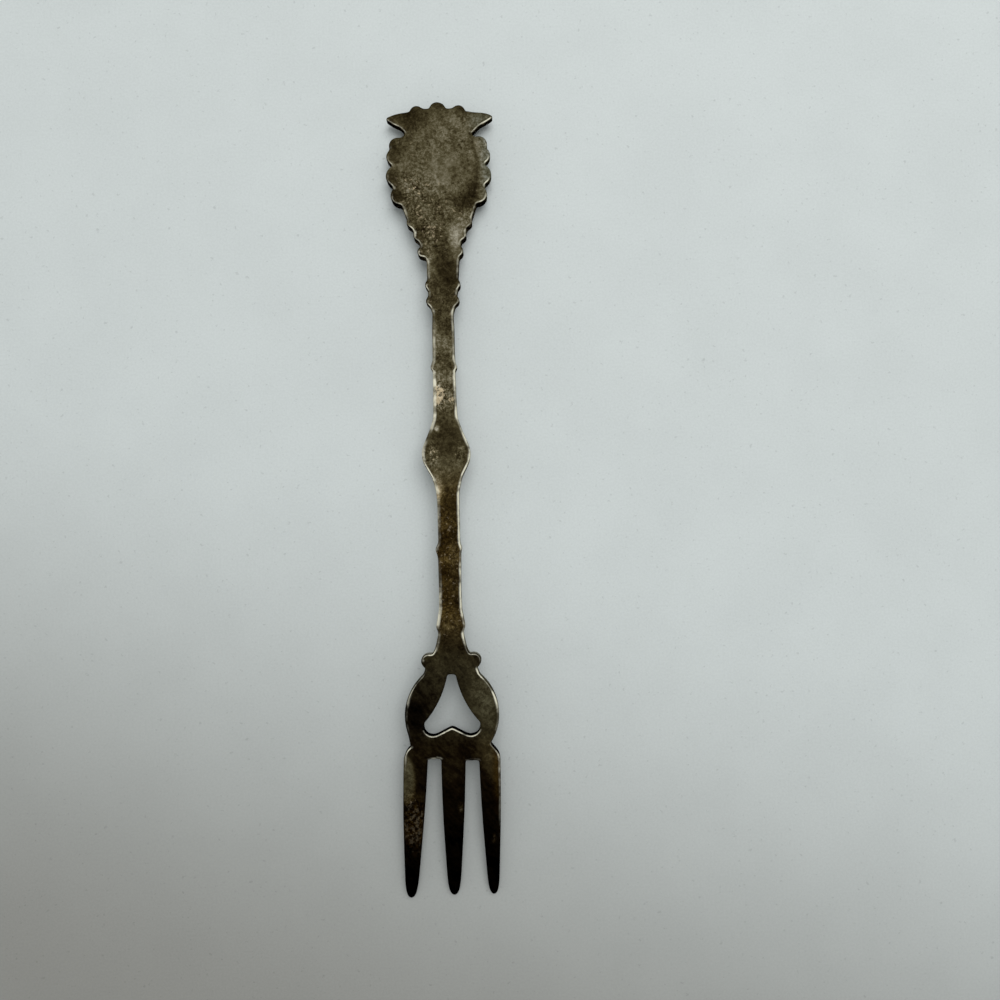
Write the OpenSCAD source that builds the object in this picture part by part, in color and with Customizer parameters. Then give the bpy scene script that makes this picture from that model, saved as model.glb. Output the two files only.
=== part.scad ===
// Oyster fork in tarnished silver, lying with its plain back up and its front on the table.
// X runs across the fork, Y runs along it towards the terminal, Z is up. All lengths are in millimetres.
// The origin is on the table, under the stem's line, half way along the fork.
// The blank is divided along its natural lines into members that meet face to face.

/* [Terminal] */
// Length of the terminal, from its crest scallop down to the waist
terminal_l = 28.5; // [26:0.1:31]
// Width across the widest side scallops
terminal_w = 18.4; // [17:0.1:20]
// Width across the two leaf tips
leaf_span = 18.7; // [18:0.1:20]
// Radius of the rounded leaf tips
leaf_tip_r = 0.4; // [0.3:0.05:0.6]
// Thickness of the terminal's plate
terminal_t = 2.2; // [1.8:0.1:2.6]
// Radius of the largest side scallops
scallop_r = 1.9; // [1.7:0.05:2.1]
// Radius of the scallop at the middle of the crest
crest_r = 1.45; // [1.2:0.05:1.7]
// Width of the waist between the terminal and the neck
waist_w = 5.3; // [4.8:0.1:5.7]
// Sideways set of the terminal from the stem's line, to the right where positive
terminal_set = -0.4; // [-0.5:0.05:0.5]
// Sideways set of the leaves from the terminal's own middle
leaf_set = 0.3; // [-0.4:0.05:0.4]

/* [Front relief] */
// How far the scallop beads stand out of the front
bead_h = 0.4; // [0.2:0.05:0.6]
// Distance from the middle of the flower to its petals
petal_ring_r = 3.6; // [3.2:0.1:4]
// Radius of the petal domes
petal_r = 3.2; // [2.8:0.1:3.6]
// How far the petals stand out of the front
petal_h = 0.6; // [0.4:0.05:0.8]
// Number of petals
petal_n = 6; // [5:1:8]
// Radius of the bud's dome
bud_r = 2.6; // [2.2:0.1:3]
// How far the bud stands out of the front
bud_h = 0.8; // [0.5:0.05:1]

/* [Neck] */
// Length of the beaded neck
neck_l = 9.1; // [8:0.1:11]
// Width across the neck's beads
neck_w = 5.9; // [5.6:0.1:6.6]
// Radius of the neck's beads
neck_bead_r = 1; // [0.8:0.05:1.2]

/* [Stem] */
// Width of the stem
stem_w = 3.8; // [3.4:0.1:4.2]
// Thickness of the stem, and of the head where it joins the stem
stem_t = 2.2; // [1.8:0.1:2.6]
// Length of the stem between the neck and the knop
upper_stem_l = 18.05; // [16:0.05:22]
// Length of the stem between the knop and the yoke
lower_stem_l = 23.2; // [20:0.1:26]
// Width of the collar on the upper stem
upper_collar_w = 4.7; // [4.4:0.1:5.2]
// Width of the small collar on the lower stem
middle_collar_w = 4.4; // [4.2:0.1:5]
// Width of the collar above the yoke
lower_collar_w = 5; // [4.7:0.1:5.6]

/* [Knop] */
// Length of the knop with its flanks
knop_l = 13.4; // [12.5:0.1:15]
// Width of the knop
knop_w = 8.3; // [7.8:0.1:9]
// Thickness at the middle of the knop
knop_t = 3; // [2.7:0.1:3.4]

/* [Yoke and arms] */
// Length of the shoulder yoke
yoke_l = 7.2; // [6.8:0.05:8]
// Width across the yoke's two ears
ear_span = 10.3; // [9.8:0.1:11]
// Radius of the ears
ear_r = 1.3; // [1.1:0.05:1.4]
// Length of the arms beside the heart
arm_l = 8.4; // [7.8:0.05:9]
// Width across the arms
head_w = 16.1; // [15.2:0.1:16.6]
// Radius of the arms' outer edge
arm_outer_r = 9.4; // [8.9:0.1:10.2]
// Radius of the arms' inner edge
arm_inner_r = 17; // [14:0.5:24]
// Width of the heart's flat point under the yoke
heart_point_w = 1.4; // [1:0.05:1.6]
// Width of the heart at its lobes
heart_w = 9.65; // [9.2:0.05:10.2]

/* [Bridge] */
// Length of the bridge, from the heart's widest line to the tine roots
bridge_l = 6.65; // [6.2:0.05:7.2]
// Radius of the heart's two lobes
lobe_r = 1.6; // [1.4:0.05:1.8]
// Depth of the lobes' middles below the heart's widest line
lobe_drop = 0.55; // [0.3:0.05:0.8]
// Depth of the heart's cusp below its widest line
cusp_drop = 0.65; // [0.4:0.05:0.9]
// Radius of the shoulders over the outer tines
shoulder_r = 3.7; // [3.4:0.1:4]

/* [Tines] */
// Length of the left tine
left_tine_l = 25.5; // [24:0.05:28]
// Length of the middle tine
middle_tine_l = 25.1; // [24:0.05:28]
// Length of the right tine
right_tine_l = 25.1; // [24:0.05:28]
// Width of the left tine at its root
left_tine_w = 4.1; // [3.9:0.05:4.6]
// Width of the middle tine at its root
middle_tine_w = 4.15; // [3.8:0.05:4.5]
// Width of the right tine at its root
right_tine_w = 3.65; // [3.2:0.05:4]
// Width of the slots at their flat tops
slot_w = 2.35; // [2.1:0.05:2.6]
// Sideways set of the left tip from the middle of its root, to the right where positive
left_tip_set = -1.7; // [-2.1:0.05:-1.4]
// Sideways set of the middle tip from the middle of its root
middle_tip_set = -0.55; // [-1:0.05:0]
// Sideways set of the right tip from the middle of its root
right_tip_set = 0.2; // [-0.2:0.05:0.6]
// Thickness of the longest tine at its tip
tip_t = 1.1; // [0.8:0.1:1.5]

/* [Bend] */
// How far the back falls from its crest at the yoke to the tine tips
head_drop = 5.4; // [4.6:0.1:7]

/* [Hidden] */
$fn = 96;
bend_fn = 1440;
arc_n = 16;
bend_n = 20;
bright = "#8b8478";
dull = "#6b6252";
dark = "#4a4134";

// Outline shares of the terminal: along its length from the crest, and of half its width
core_shares = [[0.046, 0.5], [0.21, 0.63], [0.262, 0.835], [0.405, 0.875], [0.537, 0.875],
    [0.66, 0.695], [0.72, 0.63], [0.806, 0.496], [0.89, 0.375]];
// Scallops of one side: place along the length, outermost edge of half the width, radius of the largest
scallop_shares = [[0.278, 0.933, 0.79], [0.349, 0.987, 0.84], [0.47, 1, 1], [0.592, 0.914, 0.88],
    [0.762, 0.607, 0.5], [0.844, 0.488, 0.475], [0.943, 0.422, 0.53]];
// Crest scallop beside the middle one: place along the length, across half the width, radius
side_crest_share = [0.07, 0.397, 0.86];
// Leaf: along the terminal's length, and of half the leaf span
leaf_root_shares = [[0.062, 0.5], [0.0744, 0.759], [0.0814, 0.856]];
leaf_tip_share = 0.109;
leaf_under_shares = [[0.1456, 0.8535], [0.1614, 0.754], [0.1835, 0.6845], [0.2035, 0.631],
    [0.2123, 0.615], [0.176, 0.32]];
// Middle of the front flower along the terminal, a bead's part of its scallop, depth where domes begin
flower_share = 0.46;
bead_share = 0.8;
dome_root_share = 0.85;
// Beads of the neck: place along its length, outermost edge of half its width, radius
neck_bead_shares = [[0.46, 1, 1], [0.773, 0.95, 0.95]];
// Neck between its beads: place along its length, part of the waist's half width
neck_shares = [[0.2, 0.98], [0.62, 0.9], [0.93, 0.74]];
// Stem stations: place along the length, part of the stem's half width
neck_end_share = 0.9;
knop_top_share = 1.08;
knop_bottom_share = 1;
yoke_top_share = 1.1;
upper_shares = [[0.15, 0.97], [0.458, 1]];
upper_collar_share = 0.532;
upper_after_shares = [[0.56, 1], [0.8, 1.02]];
lower_shares = [[0.1, 0.975], [0.345, 0.97]];
middle_collar_share = 0.39;
lower_after_shares = [[0.42, 1.03], [0.69, 0.99], [0.83, 1.02]];
lower_collar_share = 0.965;
// Knop: its middle along its length, and its hollow flanks by place and part of the stem's half width
knop_mid_share = 0.47;
flank_top_shares = [[0.05, 1.18], [0.156, 1.437]];
flank_bottom_shares = [[0.773, 1.33], [0.858, 1.17], [0.944, 1.04]];
// Yoke flare: place along its length, part of the stem's half width; and the ears' middle
flare_shares = [[0.195, 1.25], [0.39, 1.43], [0.53, 1.72], [0.9, 2.4]];
ear_share = 0.675;
// Middle of the arms' outer edge along their length
arm_mid_share = 0.845;
// Tines: place along their length, part of their width at the root
tine_shares = [[0, 1], [0.14, 0.97], [0.3, 0.92], [0.45, 0.85], [0.6, 0.755], [0.73, 0.67],
    [0.85, 0.585], [0.905, 0.53], [0.94, 0.465], [0.965, 0.385], [0.985, 0.27], [0.996, 0.15], [1, 0.06]];

// Places along Y
longest_tine_l = max(left_tine_l, middle_tine_l, right_tine_l);
handle_run = neck_l + upper_stem_l + knop_l + lower_stem_l;
head_run = yoke_l + arm_l + bridge_l + longest_tine_l;
total_l = terminal_l + handle_run + head_run;
crest_y = total_l / 2;
waist_y = crest_y - terminal_l;
neck_end_y = waist_y - neck_l;
knop_top_y = neck_end_y - upper_stem_l;
knop_bottom_y = knop_top_y - knop_l;
yoke_top_y = knop_bottom_y - lower_stem_l;
arm_top_y = yoke_top_y - yoke_l;
bridge_top_y = arm_top_y - arm_l;
root_y = bridge_top_y - bridge_l;

// Widths and places across X
half_w = terminal_w / 2;
leaf_half = leaf_span / 2;
stem_half = stem_w / 2;
root_w = left_tine_w + middle_tine_w + right_tine_w + 2 * slot_w;
middle_x = -root_w / 2 + left_tine_w + slot_w;
right_x = middle_x + middle_tine_w + slot_w;
arm_x = head_w / 2 - arm_outer_r;
arm_y = arm_top_y - arm_l * arm_mid_share;
arm_root_half = arm_x + sqrt(arm_outer_r ^ 2 - (arm_top_y - arm_y) ^ 2);
lobe_x = heart_w / 2 - lobe_r;

// Domes of the front: across, along from the waist, radius, how far each stands out
function scallop(p) = [half_w * p[1] - scallop_r * p[2], terminal_l * (1 - p[0]), scallop_r * p[2]];
crest = [0, terminal_l - crest_r, crest_r];
side_crest = [half_w * side_crest_share[1], terminal_l * (1 - side_crest_share[0]),
    crest_r * side_crest_share[2]];
scallops = concat([side_crest], [for (p = scallop_shares) scallop(p)]);
flower_u = terminal_l * (1 - flower_share);
bead_domes = [for (s = concat([crest], scallops)) [s[0], s[1], s[2] * bead_share, bead_h]];
petal_domes = [for (i = [0 : petal_n - 1]) let (a = 360 * i / petal_n)
    [petal_ring_r * sin(a), flower_u + petal_ring_r * cos(a), petal_r, petal_h]];
domes = concat(bead_domes, petal_domes, [[0, flower_u, bud_r, bud_h]]);

// The back is highest where the stem meets the yoke. It falls on one arc to the tine tips,
// and on another to the waist, where the flat terminal goes on at the arc's last slope.
crest_z = tip_t + head_drop;
front_drop = crest_z - stem_t;
head_back_r = (head_run ^ 2 + head_drop ^ 2) / (2 * head_drop);
head_front_r = (head_run ^ 2 + front_drop ^ 2) / (2 * front_drop);
// The slope is the one at which the lowest dome of the terminal just touches the table
function dome_depth(d) = terminal_t + d[3] - d[2];
function dome_low(d, a) =
    crest_z - handle_run * tan(a / 2) - d[1] * sin(a) - dome_depth(d) * cos(a) - d[2];
function clearance(a) = min([for (d = domes) dome_low(d, a)]);
function slope(low, high, tries) = tries == 0 ? (low + high) / 2
    : clearance((low + high) / 2) > 0 ? slope((low + high) / 2, high, tries - 1)
    : slope(low, (low + high) / 2, tries - 1);
tilt = slope(0, 15, 40);
handle_r = handle_run / sin(tilt);
waist_z = crest_z - handle_run * tan(tilt / 2);

// Cuts and slabs run past what they trim by this much
over = head_w;

// Angle about c at which a line from p touches a circle there, on the side that turn names
function touch(p, c, r, turn) = atan2(p[1] - c[1], p[0] - c[0]) + turn * acos(r / norm(p - c));

// Points of a round stretch about c, between two angles
function arc(c, r, from, to) =
    [for (i = [0 : arc_n]) let (a = from + (to - from) * i / arc_n) c + r * [cos(a), sin(a)]];

module both_sides() {
    children();
    mirror([1, 0, 0]) children();
}

// A shape drawn in Y and Z, made wide enough to pass through the whole fork
module across() {
    translate([-over, 0, 0]) rotate([90, 0, 90]) linear_extrude(2 * over) children();
}

// A shape drawn in X and Y, made tall enough to pass through the whole fork
module upright() {
    translate([0, 0, -over]) linear_extrude(2 * over + crest_z) children();
}

// The part of a plan between two lines across the fork
module between(top_y, bottom_y) {
    intersection() {
        children();
        translate([-over, bottom_y]) square([2 * over, top_y - bottom_y]);
    }
}

// An outline through stations of place along the length and half width, set aside but for its last one
module strip(top_y, length, stations, set = 0) {
    last = len(stations) - 1;
    mid = [for (i = [0 : last]) i < last ? set : 0];
    right = [for (i = [0 : last]) [mid[i] + stations[i][1], top_y - length * stations[i][0]]];
    left = [for (i = [last : -1 : 0]) [2 * mid[i] - right[i][0], right[i][1]]];
    polygon(concat(right, left));
}

function sized(shares, half) = [for (p = shares) [p[0], p[1] * half]];

// The part of a side profile between two lines across the fork
module alongside(top_y, bottom_y) {
    intersection() {
        children();
        translate([bottom_y, -over]) square([top_y - bottom_y, 2 * over]);
    }
}

// Side profile of the stem: two arcs about one centre, a thickness apart, a step past the waist
function bend_point(i, r) =
    let (a = tilt * i / bend_n)
    [yoke_top_y + r * sin(a), crest_z - handle_r + r * cos(a)];

module handle_side(thickness) {
    back = [for (i = [0 : bend_n + 1]) bend_point(i, handle_r)];
    front = [for (i = [bend_n + 1 : -1 : 0]) bend_point(i, handle_r - thickness)];
    polygon(concat(back, front));
}

// Side profile of the head: thick at the yoke, thin at the tine tips
module head_side() {
    difference() {
        translate([yoke_top_y, crest_z - head_back_r]) circle(head_back_r, $fn = bend_fn);
        translate([yoke_top_y, crest_z - stem_t - head_front_r]) circle(head_front_r, $fn = bend_fn);
    }
}

module handle_member(top_y, bottom_y, thickness = stem_t) {
    intersection() {
        union() for (i = [0 : $children - 1]) upright() between(top_y, bottom_y) children(i);
        across() alongside(top_y, bottom_y) handle_side(thickness);
    }
}

module head_member(top_y, bottom_y) {
    intersection() {
        union() for (i = [0 : $children - 1]) upright() between(top_y, bottom_y) children(i);
        across() alongside(top_y, bottom_y) head_side();
    }
}

// The flat terminal's own frame: its origin on the back at the waist, Y along the slope
module on_terminal() {
    translate([0, waist_y, waist_z]) rotate([-tilt, 0, 0]) children();
}

module leaf() {
    tip_x = leaf_half - leaf_tip_r;
    tip_y = crest_y - terminal_l * leaf_tip_share;
    over_edge = [for (p = leaf_root_shares) [leaf_half * p[1], crest_y - terminal_l * p[0]]];
    under_edge = [for (p = leaf_under_shares) [leaf_half * p[1], crest_y - terminal_l * p[0]]];
    polygon(concat(over_edge, [[tip_x, tip_y + leaf_tip_r], [tip_x, tip_y - leaf_tip_r]], under_edge));
    translate([tip_x, tip_y]) circle(leaf_tip_r);
}

module terminal_plan() {
    strip(crest_y, terminal_l, concat(sized(core_shares, half_w), [[1, waist_w / 2]]), terminal_set);
    translate([terminal_set, waist_y + crest[1]]) circle(crest[2]);
    translate([terminal_set + leaf_set, 0]) both_sides() leaf();
    translate([terminal_set, 0]) both_sides()
        for (s = scallops) translate([s[0], waist_y + s[1]]) circle(s[2]);
}

module dome(d) {
    translate([d[0], d[1], -dome_depth(d)]) sphere(d[2]);
}

module terminal() {
    color(bright) {
        intersection() {
            upright() between(crest_y, waist_y) terminal_plan();
            on_terminal() translate([-over, -over, -terminal_t])
                cube([2 * over, terminal_l + 2 * over, terminal_t]);
        }
        on_terminal() translate([terminal_set, 0, 0]) intersection() {
            union() {
                for (d = domes) dome(d);
                mirror([1, 0, 0]) for (d = bead_domes) dome(d);
            }
            translate([-over, 0, -terminal_t - over])
                cube([2 * over, terminal_l + over, over + terminal_t * (1 - dome_root_share)]);
        }
    }
}

module neck_bead(p) {
    r = neck_bead_r * p[2];
    translate([neck_w / 2 * p[1] - r, waist_y - neck_l * p[0]]) circle(r);
}

module beaded_neck() {
    half = waist_w / 2;
    stations = concat([[0, half]], sized(neck_shares, half), [[1, stem_half * neck_end_share]]);
    color(dark) handle_member(waist_y, neck_end_y) {
        strip(waist_y, neck_l, stations);
        both_sides() for (p = neck_bead_shares) neck_bead(p);
    }
}

module upper_stem() {
    stations = concat(
        [[0, stem_half * neck_end_share]],
        sized(upper_shares, stem_half),
        [[upper_collar_share, upper_collar_w / 2]],
        sized(upper_after_shares, stem_half),
        [[1, stem_half * knop_top_share]]);
    color(dull) handle_member(neck_end_y, knop_top_y) strip(neck_end_y, upper_stem_l, stations);
}

// The knop's plan: a round, with flanks that touch it and run hollow into the stem at each end
function flank(shares) = [for (p = shares) [stem_half * p[1], knop_top_y - knop_l * p[0]]];

module knop_plan() {
    r = knop_w / 2;
    mid = [0, knop_top_y - knop_l * knop_mid_share];
    top = flank(concat([[0, knop_top_share]], flank_top_shares));
    bottom = flank(concat(flank_bottom_shares, [[1, knop_bottom_share]]));
    round = arc(mid, r, touch(top[len(top) - 1], mid, r, -1), touch(bottom[0], mid, r, 1));
    right = concat(top, round, bottom);
    left = [for (i = [len(right) - 1 : -1 : 0]) [-right[i][0], right[i][1]]];
    polygon(concat(right, left));
}

// The front of the knop swells as part of a ball, down to the stem's thickness at its ends
module oval_knop() {
    swell = knop_t - stem_t;
    reach = knop_l * max(knop_mid_share, 1 - knop_mid_share);
    ball_r = (reach ^ 2 + swell ^ 2) / (2 * swell);
    mid_y = knop_top_y - knop_l * knop_mid_share;
    back_z = crest_z - handle_r + sqrt(handle_r ^ 2 - (mid_y - yoke_top_y) ^ 2);
    color(dull) intersection() {
        handle_member(knop_top_y, knop_bottom_y, knop_t + swell) knop_plan();
        translate([0, mid_y, back_z - knop_t + ball_r]) sphere(ball_r);
    }
}

module lower_stem() {
    stations = concat(
        [[0, stem_half * knop_bottom_share]],
        sized(lower_shares, stem_half),
        [[middle_collar_share, middle_collar_w / 2]],
        sized(lower_after_shares, stem_half),
        [[lower_collar_share, lower_collar_w / 2], [1, stem_half * yoke_top_share]]);
    color(dull) handle_member(knop_bottom_y, yoke_top_y) strip(knop_bottom_y, lower_stem_l, stations);
}

module shoulder_yoke() {
    stations = concat(
        [[0, stem_half * yoke_top_share]],
        sized(flare_shares, stem_half),
        [[1, arm_root_half]]);
    color(dull) head_member(yoke_top_y, arm_top_y) {
        strip(yoke_top_y, yoke_l, stations);
        both_sides() translate([ear_span / 2 - ear_r, yoke_top_y - yoke_l * ear_share]) circle(ear_r);
    }
}

// The head between its two bowed outer edges
module head_plan() {
    intersection() {
        translate([arm_x, arm_y]) circle(arm_outer_r);
        translate([-arm_x, arm_y]) circle(arm_outer_r);
    }
}

// The right arm, between the heart's swelling edge and the bowed outer edge
module arm() {
    point = [heart_point_w / 2, arm_top_y];
    widest = [heart_w / 2, bridge_top_y];
    chord = widest - point;
    half = norm(chord) / 2;
    out = [-chord[1], chord[0]] / norm(chord);
    centre = (point + widest) / 2 + out * sqrt(arm_inner_r ^ 2 - half ^ 2);
    facing = atan2(-out[1], -out[0]);
    spread = asin(half / arm_inner_r);
    inner = arc(centre, arm_inner_r, facing - spread, facing + spread);
    lowest = asin((bridge_top_y - arm_y) / arm_outer_r);
    highest = asin((arm_top_y - arm_y) / arm_outer_r);
    outer = arc([arm_x, arm_y], arm_outer_r, lowest, highest);
    color(dull) head_member(arm_top_y, bridge_top_y) polygon(concat(inner, outer));
}

module left_arm() {
    mirror([1, 0, 0]) arm();
}

module right_arm() {
    arm();
}

module heart_lobes() {
    cusp = [0, bridge_top_y - cusp_drop];
    lobe = [lobe_x, bridge_top_y - lobe_drop];
    from = touch(cusp, lobe, lobe_r, 1);
    round = arc(lobe, lobe_r, from > 0 ? from - 360 : from, 0);
    right = concat([cusp], round, [lobe + [lobe_r, over]]);
    left = [for (i = [len(right) - 1 : -1 : 1]) [-right[i][0], right[i][1]]];
    polygon(concat(right, left));
}

module tine_bridge() {
    color(dark) difference() {
        head_member(bridge_top_y, root_y) {
            head_plan();
            both_sides() translate([root_w / 2 - shoulder_r, root_y]) circle(shoulder_r);
        }
        upright() heart_lobes();
    }
}

// A tine from its root at x to a blunt point, about a line that leans towards its tip
module tine(x, width, length, tip_set) {
    mid = [for (p = tine_shares) [x + width / 2 + tip_set * p[0], root_y - length * p[0]]];
    half = [for (p = tine_shares) [width / 2 * p[1], 0]];
    last = len(tine_shares) - 1;
    right = [for (i = [0 : last]) mid[i] + half[i]];
    left = [for (i = [last : -1 : 0]) mid[i] - half[i]];
    color(dark) head_member(root_y, root_y - length) polygon(concat(right, left));
}

module left_tine() {
    tine(-root_w / 2, left_tine_w, left_tine_l, left_tip_set);
}

module middle_tine() {
    tine(middle_x, middle_tine_w, middle_tine_l, middle_tip_set);
}

module right_tine() {
    tine(right_x, right_tine_w, right_tine_l, right_tip_set);
}

terminal();
beaded_neck();
upper_stem();
oval_knop();
lower_stem();
shoulder_yoke();
left_arm();
right_arm();
tine_bridge();
left_tine();
middle_tine();
right_tine();
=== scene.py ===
# %% [markdown]
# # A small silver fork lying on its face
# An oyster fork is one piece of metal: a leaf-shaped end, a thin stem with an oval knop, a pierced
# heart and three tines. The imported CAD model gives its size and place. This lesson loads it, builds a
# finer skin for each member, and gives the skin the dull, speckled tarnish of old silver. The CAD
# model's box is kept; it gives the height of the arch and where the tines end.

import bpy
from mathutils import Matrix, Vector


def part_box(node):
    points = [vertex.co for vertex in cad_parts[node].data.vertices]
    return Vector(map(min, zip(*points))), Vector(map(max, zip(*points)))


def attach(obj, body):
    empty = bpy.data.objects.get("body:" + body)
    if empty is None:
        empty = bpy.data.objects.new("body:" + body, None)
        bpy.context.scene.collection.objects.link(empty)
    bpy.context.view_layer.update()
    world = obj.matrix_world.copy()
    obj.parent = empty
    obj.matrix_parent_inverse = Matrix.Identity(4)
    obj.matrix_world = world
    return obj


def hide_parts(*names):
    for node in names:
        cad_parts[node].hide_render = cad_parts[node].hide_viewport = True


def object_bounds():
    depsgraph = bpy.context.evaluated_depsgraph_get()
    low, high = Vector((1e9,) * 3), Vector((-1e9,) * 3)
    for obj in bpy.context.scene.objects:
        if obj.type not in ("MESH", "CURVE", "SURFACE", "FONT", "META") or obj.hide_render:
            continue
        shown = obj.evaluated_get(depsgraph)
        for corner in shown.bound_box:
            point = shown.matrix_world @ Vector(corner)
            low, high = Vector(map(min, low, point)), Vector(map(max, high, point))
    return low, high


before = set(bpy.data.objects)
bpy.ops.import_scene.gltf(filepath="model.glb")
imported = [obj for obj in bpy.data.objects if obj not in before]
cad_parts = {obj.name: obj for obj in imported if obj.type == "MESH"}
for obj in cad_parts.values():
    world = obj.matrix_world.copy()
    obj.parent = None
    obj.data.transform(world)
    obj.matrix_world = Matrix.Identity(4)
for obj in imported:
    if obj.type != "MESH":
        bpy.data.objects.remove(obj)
cad_low, cad_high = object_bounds()
print("CAD box in metres:", list(cad_low), list(cad_high))

# %% Tools and the unit of length
import math

import bpy
import numpy as np
from mathutils import Vector, noise
from mathutils.bvhtree import BVHTree
from mathutils.geometry import delaunay_2d_cdt

MM = 0.001
BANDS = [
    ("terminal",), ("beaded_neck",), ("upper_stem",), ("oval_knop",), ("lower_stem",),
    ("shoulder_yoke",), ("left_arm", "right_arm"), ("tine_bridge",),
    ("left_tine", "middle_tine", "right_tine"),
]


def span(node, axis):
    """Lowest and highest place of a CAD member along one axis, in millimetres."""
    low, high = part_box(node)
    return low[axis] / MM, high[axis] / MM


print(sum(map(len, BANDS)), "members in", len(BANDS), "bands")

# %% [markdown]
# ## The outline of the whole fork
# The real fork is one piece of metal, so its edge runs unbroken from member to member. The outline
# could be drawn again by hand, but the CAD model already holds it. Each member's upward face has a
# rim. Rims that two members share are only dividing lines, so they cancel, and what is left is the
# true edge: one long loop round the fork and one round the heart-shaped hole.

# %% Rims and loops
UPWARD = 0.9
CLOSE = 0.02
DIGITS = 4


def rim_edges(node):
    """Directed edges round a member's upward face, as pairs of points."""
    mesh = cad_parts[node].data
    rim = {}
    for face in mesh.polygons:
        if face.normal.z < UPWARD:
            continue
        ring = [tuple(round(c / MM, DIGITS) for c in mesh.vertices[i].co[:2]) for i in face.vertices]
        for a, b in zip(ring, ring[1:] + ring[:1]):
            if (b, a) in rim:
                del rim[(b, a)]
            else:
                rim[(a, b)] = True
    return list(rim)


def free_parts(upper, lower):
    """Stretches of a dividing line that only one of its two sides has."""
    stops = sorted({x for pair in upper + lower for x in pair})
    free = []
    for a, b in zip(stops, stops[1:]):
        above = any(p < (a + b) / 2 < q for p, q in upper)
        below = any(p < (a + b) / 2 < q for p, q in lower)
        if b - a > CLOSE and above != below:
            free.append((a, b, above))
    return free


def chain(edges):
    """Joins directed edges end to start into closed loops."""
    starts = np.array([a for a, b in edges])
    unused = np.ones(len(edges), bool)
    loops = []
    while unused.any():
        k = int(np.argmax(unused))
        loop = []
        while unused[k]:
            unused[k] = False
            loop.append(edges[k][0])
            k = int(np.argmin(np.linalg.norm(starts - edges[k][1], axis=1)))
        loops.append(np.array(loop))
    return loops


print("rim of the leaf-shaped end:", len(rim_edges("terminal")), "edges")

# %% Find the true edge
SHORTEST_LOOP = 8

divides = [span(band[0], 1)[0] for band in BANDS[:-1]]
edges = []
upper_rims = [[] for _ in divides]
lower_rims = [[] for _ in divides]
for number, band in enumerate(BANDS):
    for node in band:
        for a, b in rim_edges(node):
            level = abs(a[1] - b[1]) < CLOSE
            ends = tuple(sorted((a[0], b[0])))
            if level and number < len(divides) and abs(a[1] - divides[number]) < CLOSE:
                upper_rims[number].append(ends)
            elif level and number > 0 and abs(a[1] - divides[number - 1]) < CLOSE:
                lower_rims[number - 1].append(ends)
            else:
                edges.append((a, b))
for y, upper, lower in zip(divides, upper_rims, lower_rims):
    for a, b, above in free_parts(upper, lower):
        edges.append(((a, y), (b, y)) if above else ((b, y), (a, y)))
raw_loops = [loop for loop in chain(edges) if len(loop) > SHORTEST_LOOP]
print("true edges:", [len(loop) for loop in raw_loops], "points")

# %% [markdown]
# ## Years of handling
# A drawn outline has crisp corners. On the real fork polishing and use have rounded every notch and
# corner. A bevel only works on corners that are sharp in the mesh, so here the outline is spread into
# even steps and each point is drawn towards its neighbours, over and over. Then come the small
# irregularities of a bent and hand-filed blank.

# %% Soften the outline
STEP = 0.18
ROUNDS = 5
# Tables with ALONG in their names, and these two, go by the distance from the leaf's top. First the
# sideways bow of the bent stem, then the extra width of the worn taper and neck on either side.
BOW = [
    (0, 0), (22, 0), (26, 0.1), (29, 0.08), (36, -0.05), (47, -0.05), (52, 0), (57, 0.08),
    (63, 0.06), (70, 0.26), (80, 0.3), (93, 0.25), (99, 0.2), (108, 0.1), (114, -0.08), (140, -0.1),
]
SPREAD = [(0, 0), (18, 0), (22, 0.13), (34, 0.13), (38, 0.06), (44, 0), (140, 0)]
# The outer parts of the leaf-shaped end lie a little nearer its top: shift for each millimetre from
# the middle line, and the length over which it fades out.
LIFT = 0.012
LIFT_FADE = 8
# Places where the file cut further or less far: x, y, shift in x and in y, and reach.
FILED = [
    (0, 69.7, 0, -0.12, 1.2), (-2.1, 67.6, 0, 0.12, 0.8), (5.8, 67, 0, -0.25, 1.8),
    (9, 66, 0.03, -0.1, 1.2), (-8.6, 65.6, 0, -0.15, 1.8), (-1.75, -8.4, -0.24, 0, 0.9),
    (-6.7, -41.5, -0.33, -0.35, 1.2), (7.5, -42, -0.14, -0.12, 1.2), (-2.7, -44.7, 0, 0.4, 3),
]
waist_y, leaf_top_y = span("terminal", 1)


def lookup(values, table):
    """Reads values off a table of pairs."""
    return np.interp(values, *zip(*table))


def along(y, table):
    """Looks a value up by the distance from the leaf's top."""
    return lookup(leaf_top_y - y, table)


def even_steps(loop, step):
    """Points at equal distances along a closed loop."""
    closed = np.vstack([loop, loop[:1]])
    lengths = np.linalg.norm(np.diff(closed, axis=0), axis=1)
    reached = np.concatenate([[0], np.cumsum(lengths)])
    at = np.linspace(0, reached[-1], int(reached[-1] / step), endpoint=False)
    return np.column_stack([np.interp(at, reached, closed[:, k]) for k in (0, 1)])


def soften(loop, rounds):
    """Draws each point half way to the middle of its two neighbours, several times."""
    for _ in range(rounds):
        loop = loop + 0.5 * ((np.roll(loop, 1, 0) + np.roll(loop, -1, 0)) / 2 - loop)
    return loop


def bowed(loop):
    """Bows an outline, draws the leaf's outer parts to its top, and files it."""
    x, y = loop[:, 0], loop[:, 1]
    sideways = along(y, BOW) + along(y, SPREAD) * np.sign(x)
    fade = np.clip((y - waist_y) / LIFT_FADE, 0, 1)
    made = loop + np.column_stack([sideways, LIFT * fade * np.abs(x)])
    for at_x, at_y, shift_x, shift_y, reach in FILED:
        near = np.exp(-((x - at_x) ** 2 + (y - at_y) ** 2) / reach ** 2)
        made = made + near[:, None] * (shift_x, shift_y)
    return made


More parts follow.
